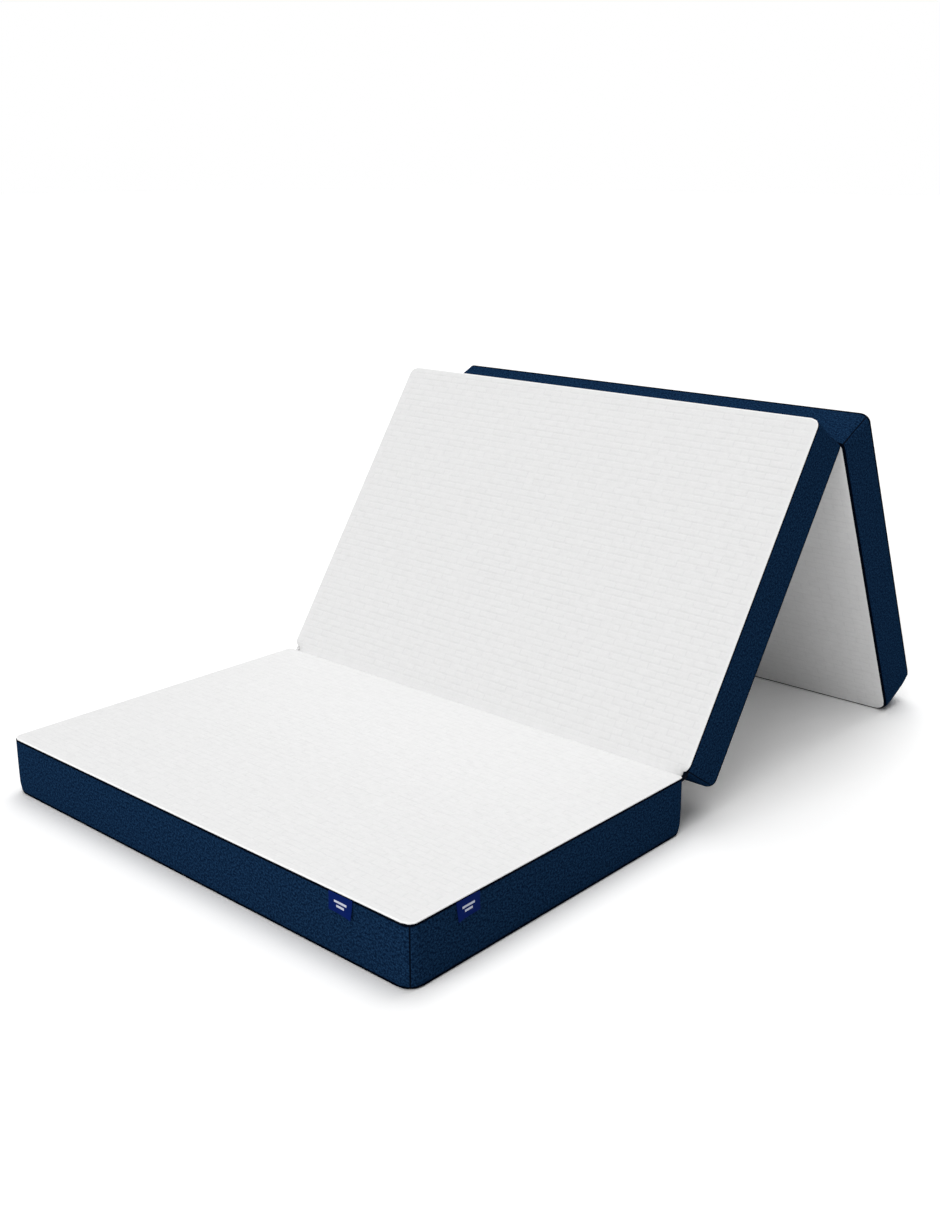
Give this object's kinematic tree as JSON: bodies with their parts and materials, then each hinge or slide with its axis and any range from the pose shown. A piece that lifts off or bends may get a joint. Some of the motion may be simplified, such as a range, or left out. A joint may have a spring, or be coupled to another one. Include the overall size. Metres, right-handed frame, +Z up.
{
  "type": "folding mattress",
  "caption": "Folding floor mattress in hinged sections with zipped covers, white knit faces and a navy woven border, propped as a seat with a backrest.",
  "frame": {"origin": "on the floor, at the middle of the footprint of the whole mattress as it stands", "axes": "+Z up, +X along the fold axes to the side away from the zips, +Y from the front section towards the leg"},
  "size_m": [0.9871, 1.4934, 0.6496],
  "materials": {
    "white_knit": "jersey knit with a fine brick pattern",
    "navy_border": "heathered flat weave",
    "support_foam": "cut open-cell foam, firm",
    "comfort_foam": "cut open-cell foam, soft",
    "zip_tape": "herringbone zip tape",
    "zip_chain": "moulded coil",
    "zip_metal": "die-cast, satin",
    "hinge_tape": "woven binding tape",
    "satin_tag": "woven satin ribbon"
  },
  "bodies": {
    "front_section": {"front_support_foam": "support_foam", "front_comfort_foam": "comfort_foam", "front_top_panel": "white_knit", "front_bottom_panel": "white_knit", "front_front_border": "navy_border", "front_right_border": "navy_border", "front_rear_border": "navy_border", "front_left_lower_border": "navy_border", "front_left_upper_border": "navy_border", "front_zip_lower_tape": "zip_tape", "front_zip_upper_tape": "zip_tape", "front_zip_chain": "zip_chain", "front_hinge_tape": "white_knit", "front_tag": "satin_tag", "side_tag": "satin_tag"},
    "front_slider": {"front_zip_slider": "zip_metal"},
    "front_pull": {"front_zip_pull": "zip_metal"},
    "middle_section": {"middle_support_foam": "support_foam", "middle_comfort_foam": "comfort_foam", "middle_top_panel": "white_knit", "middle_bottom_panel": "white_knit", "middle_front_border": "navy_border", "middle_right_border": "navy_border", "middle_rear_border": "navy_border", "middle_left_lower_border": "navy_border", "middle_left_upper_border": "navy_border", "middle_zip_lower_tape": "zip_tape", "middle_zip_upper_tape": "zip_tape", "middle_zip_chain": "zip_chain", "rear_hinge_tape": "hinge_tape"},
    "middle_slider": {"middle_zip_slider": "zip_metal"},
    "middle_pull": {"middle_zip_pull": "zip_metal"},
    "rear_section": {"rear_support_foam": "support_foam", "rear_comfort_foam": "comfort_foam", "rear_top_panel": "white_knit", "rear_bottom_panel": "white_knit", "rear_front_border": "navy_border", "rear_right_border": "navy_border", "rear_rear_border": "navy_border", "rear_left_lower_border": "navy_border", "rear_left_upper_border": "navy_border", "rear_zip_lower_tape": "zip_tape", "rear_zip_upper_tape": "zip_tape", "rear_zip_chain": "zip_chain"},
    "rear_slider": {"rear_zip_slider": "zip_metal"},
    "rear_pull": {"rear_zip_pull": "zip_metal"}
  },
  "joints": [
    {"name": "front_fold", "type": "hinge", "parent": "front_section", "child": "middle_section", "pos_m": [0, -0.08647, 0.1053], "axis": [1, 0, 0], "range_deg": [-56, 122]},
    {"name": "rear_fold", "type": "hinge", "parent": "middle_section", "child": "rear_section", "pos_m": [0, 0.37015, 0.59341], "axis": [1, 0, 0], "range_deg": [-59.38, 120.61]},
    {"name": "front_zip_slide", "type": "slide", "parent": "front_section", "child": "front_slider", "axis": [0, -1, 0], "range_m": [0, 0.604]},
    {"name": "front_pull_swing", "type": "hinge", "parent": "front_slider", "child": "front_pull", "pos_m": [-0.4938, -0.11446, 0.051], "axis": [0, 0, 1], "range_deg": [0, 180]},
    {"name": "middle_zip_slide", "type": "slide", "parent": "middle_section", "child": "middle_slider", "axis": [0, 0.5592, 0.829], "range_m": [0, 0.604]},
    {"name": "middle_pull_swing", "type": "hinge", "parent": "middle_slider", "child": "middle_pull", "pos_m": [-0.4938, -0.02579, 0.09815], "axis": [0, 0.829, -0.5592], "range_deg": [0, 180]},
    {"name": "rear_zip_slide", "type": "slide", "parent": "rear_section", "child": "rear_slider", "axis": [0, -0.4289, 0.9034], "range_m": [0, 0.604]},
    {"name": "rear_pull_swing", "type": "hinge", "parent": "rear_slider", "child": "rear_pull", "pos_m": [-0.4938, 0.68753, 0.04448], "axis": [0, 0.9034, 0.4289], "range_deg": [0, 180]}
  ]
}
